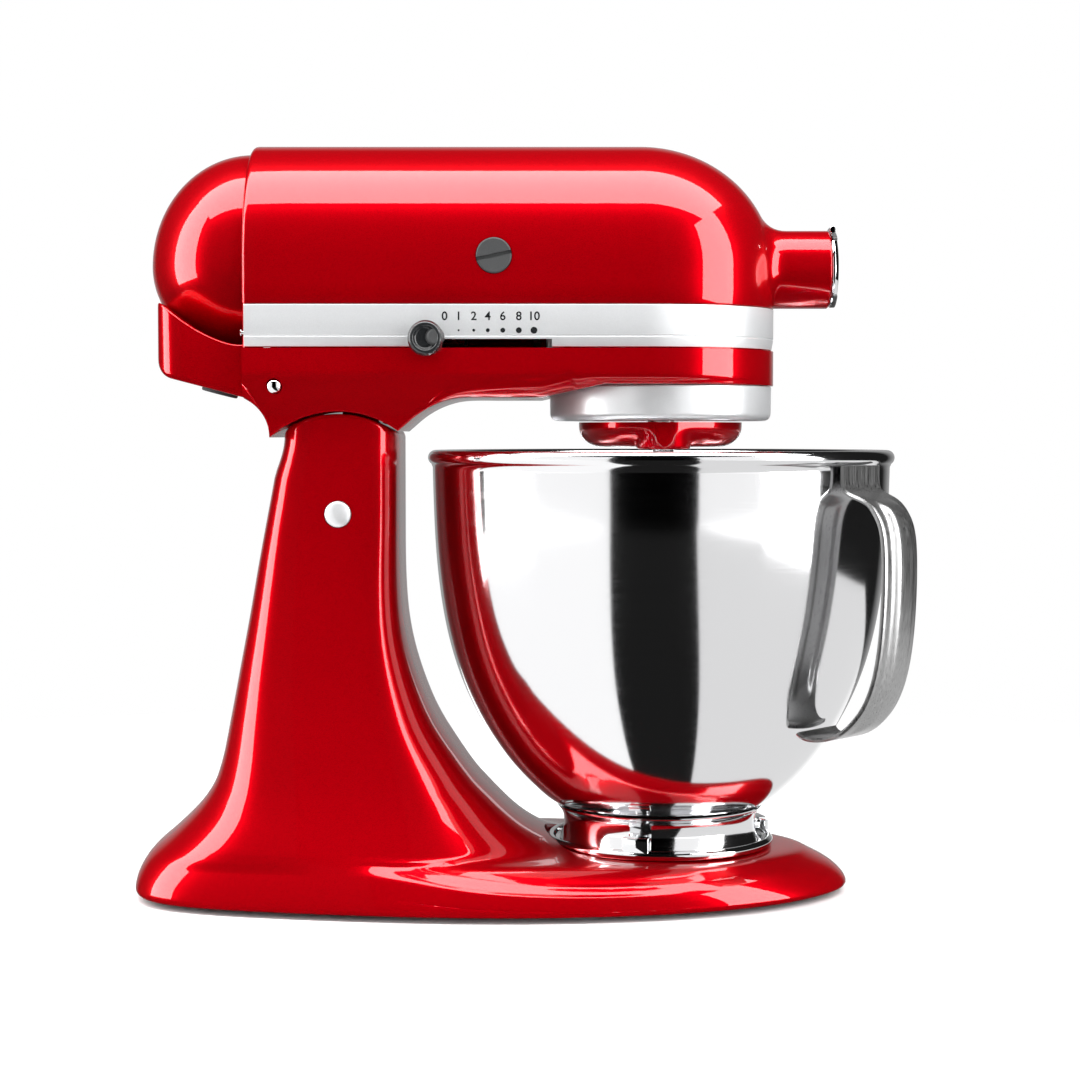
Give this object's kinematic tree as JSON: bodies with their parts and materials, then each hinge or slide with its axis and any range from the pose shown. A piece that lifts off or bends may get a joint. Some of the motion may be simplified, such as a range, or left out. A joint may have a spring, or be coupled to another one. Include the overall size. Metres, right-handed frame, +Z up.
{
  "type": "stand mixer",
  "caption": "Tilt-head stand mixer with a lacquered stand, a tilting motor head, planetary drive, power outlet and a lift-out steel bowl.",
  "frame": {"origin": "floor level under the middle of the machine's bounding box", "axes": "+X towards the bowl and the power outlet, +Y to the side away from the speed lever, +Z up"},
  "size_m": [0.36, 0.2196, 0.351],
  "materials": {
    "red_lacquer": "candy red metallic lacquer under a glossy clear coat",
    "polished_steel": "mirror polished stainless steel",
    "chrome_trim": "bright chrome",
    "satin_silver": "satin silver",
    "cast_aluminium": "as cast",
    "gear_steel": "machined steel with an oil film",
    "bronze": "sintered bronze",
    "copper": "copper bars and enamelled windings",
    "black_gloss": "glossy black",
    "black_matte": "matte black",
    "rubber": "matte moulded rubber",
    "carbon": "pressed carbon"
  },
  "bodies": {
    "stand": {"stand": "red_lacquer", "bowl_clamp_plate": "chrome_trim", "clamp_screw_1": "gear_steel", "clamp_screw_2": "gear_steel", "clamp_screw_3": "gear_steel", "hinge_pin": "chrome_trim", "foot_1": "rubber", "foot_2": "rubber", "foot_3": "rubber", "foot_4": "rubber", "foot_5": "rubber"},
    "head": {"lower_housing": "red_lacquer", "upper_housing": "red_lacquer", "rear_cover": "red_lacquer", "trim_band": "satin_silver", "drip_ring": "satin_silver", "ring_gear": "gear_steel", "planetary_bearing": "gear_steel", "motor_field": "gear_steel", "front_bearing_bracket": "cast_aluminium", "rear_bearing_bracket": "cast_aluminium", "speed_control_plate": "black_matte", "gear_bracket": "cast_aluminium", "hub_bushing": "bronze", "brush_left": "carbon", "brush_holder_left": "bronze", "brush_cap_left": "black_matte", "brush_right": "carbon", "brush_holder_right": "bronze", "brush_cap_right": "black_matte", "cord_grommet": "rubber", "underside_screw": "gear_steel", "trim_screw_left": "chrome_trim", "trim_screw_right": "chrome_trim"},
    "lock_lever": {"lock_shaft": "chrome_trim", "lock_lever": "black_gloss"},
    "speed_lever": {"speed_arm": "gear_steel", "speed_knob": "black_gloss"},
    "planetary": {"planetary": "red_lacquer", "planetary_shaft": "gear_steel", "planetary_gear": "gear_steel", "center_bevel_gear": "gear_steel"},
    "beater_drive": {"beater_shaft": "polished_steel", "beater_pin": "polished_steel", "beater_pinion": "gear_steel"},
    "worm_wheel": {"worm_gear": "bronze", "worm_gear_shaft": "gear_steel", "worm_gear_pinion": "gear_steel"},
    "armature": {"armature_shaft": "gear_steel", "armature_core": "copper", "commutator": "copper", "cooling_fan": "black_matte"},
    "hub_drive": {"hub_shaft": "gear_steel", "hub_bevel_gear": "gear_steel"},
    "hub_cap": {"hub_cap": "chrome_trim"},
    "hub_knob": {"hub_knob": "black_gloss"},
    "bowl": {"bowl_shell": "polished_steel", "bowl_foot": "polished_steel", "bowl_handle": "polished_steel"}
  },
  "joints": [
    {"name": "head_tilt", "type": "hinge", "parent": "stand", "child": "head", "pos_m": [-0.081, 0, 0.18], "axis": [0, -1, 0], "range_deg": [0, 45]},
    {"name": "lock_turn", "type": "hinge", "parent": "head", "child": "lock_lever", "pos_m": [-0.1087, 0, 0.238], "axis": [0, 1, 0], "range_deg": [0, 90]},
    {"name": "speed_slide", "type": "slide", "parent": "head", "child": "speed_lever", "axis": [1, 0, 0], "range_m": [0, 0.042]},
    {"name": "planetary_spin", "type": "hinge", "parent": "head", "child": "planetary", "pos_m": [0.068, 0, 0.22], "axis": [0, 0, 1], "continuous": true},
    {"name": "beater_spin", "type": "hinge", "parent": "planetary", "child": "beater_drive", "pos_m": [0.068, -0.028, 0.22], "axis": [0, 0, 1], "continuous": true},
    {"name": "worm_wheel_spin", "type": "hinge", "parent": "head", "child": "worm_wheel", "pos_m": [0.04, 0.0257, 0.27], "axis": [0, 0, 1], "continuous": true},
    {"name": "armature_spin", "type": "hinge", "parent": "head", "child": "armature", "pos_m": [-0.05, 0, 0.2965], "axis": [1, 0, 0], "continuous": true},
    {"name": "hub_spin", "type": "hinge", "parent": "head", "child": "hub_drive", "pos_m": [0.1, 0, 0.294], "axis": [1, 0, 0], "continuous": true},
    {"name": "hub_cap_flip", "type": "hinge", "parent": "head", "child": "hub_cap", "pos_m": [0.149, 0, 0.3126], "axis": [0, -1, 0], "range_deg": [0, 110]},
    {"name": "hub_knob_turn", "type": "hinge", "parent": "head", "child": "hub_knob", "pos_m": [0.131, 0.022, 0.294], "axis": [0, 1, 0], "continuous": true},
    {"name": "bowl_turn", "type": "hinge", "parent": "stand", "child": "bowl", "pos_m": [0.068, 0, 0.03], "axis": [0, 0, 1], "range_deg": [0, 30]}
  ],
  "couplings": [
    {"joint": "beater_spin", "follows": "planetary_spin", "ratio": -3},
    {"joint": "worm_wheel_spin", "follows": "planetary_spin", "ratio": -2},
    {"joint": "armature_spin", "follows": "planetary_spin", "ratio": 24},
    {"joint": "hub_spin", "follows": "planetary_spin", "ratio": 1}
  ]
}
